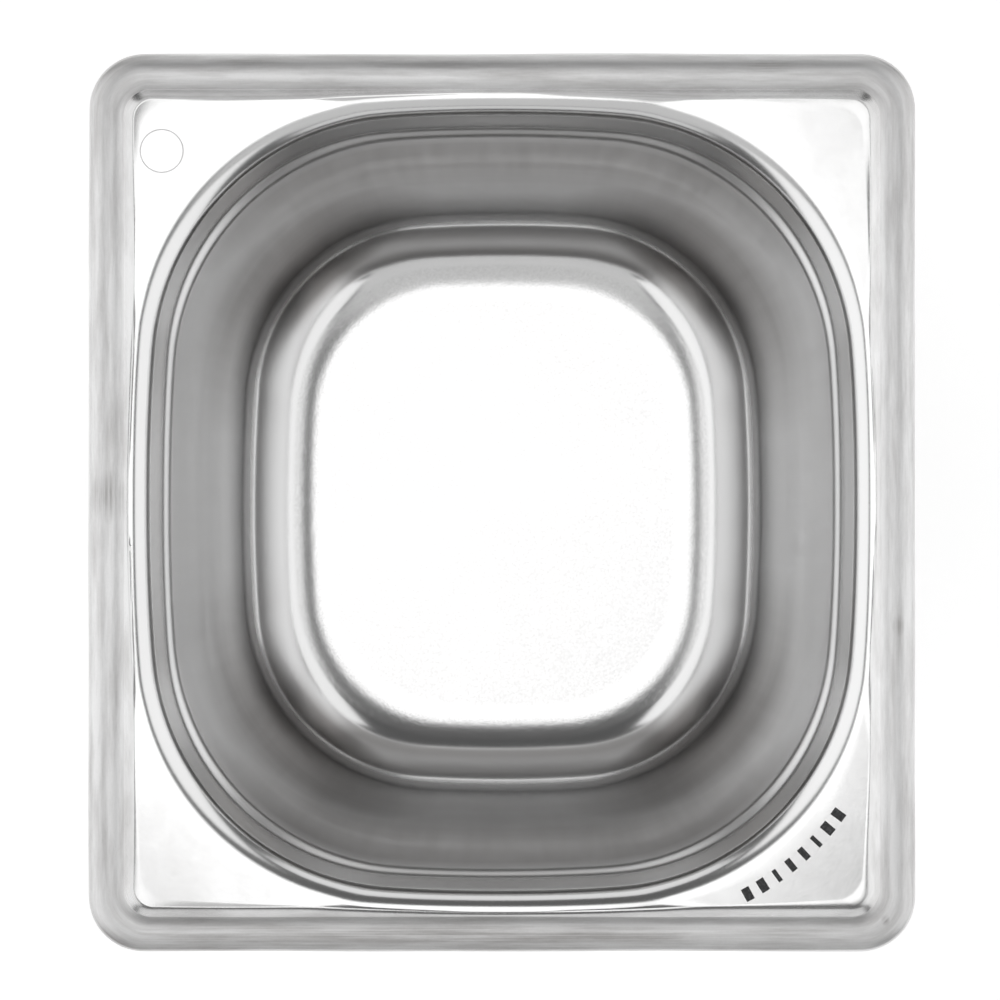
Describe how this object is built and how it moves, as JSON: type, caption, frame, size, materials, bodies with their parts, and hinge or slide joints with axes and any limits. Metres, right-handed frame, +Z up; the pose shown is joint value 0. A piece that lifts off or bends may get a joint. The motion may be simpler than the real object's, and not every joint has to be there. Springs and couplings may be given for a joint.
{
  "type": "deli food pan",
  "caption": "Deep-drawn rectangular steel food pan with rounded corners, a raised turned-down rim, flat corner plates, a stacking shoulder and drafted walls.",
  "frame": {"origin": "centre of the flat underside of the base, on the surface that the pan stands on", "axes": "+Z up through the open top, Y along the rim's long side, X along its short side"},
  "size_m": [0.162, 0.176, 0.15],
  "materials": {
    "stainless_steel": "cold-rolled sheet, satin where it was drawn, brighter on the floor and the tight bends, with light scuffs on the rim"
  },
  "bodies": {
    "root": {"pan_body": "stainless_steel"}
  },
  "joints": []
}
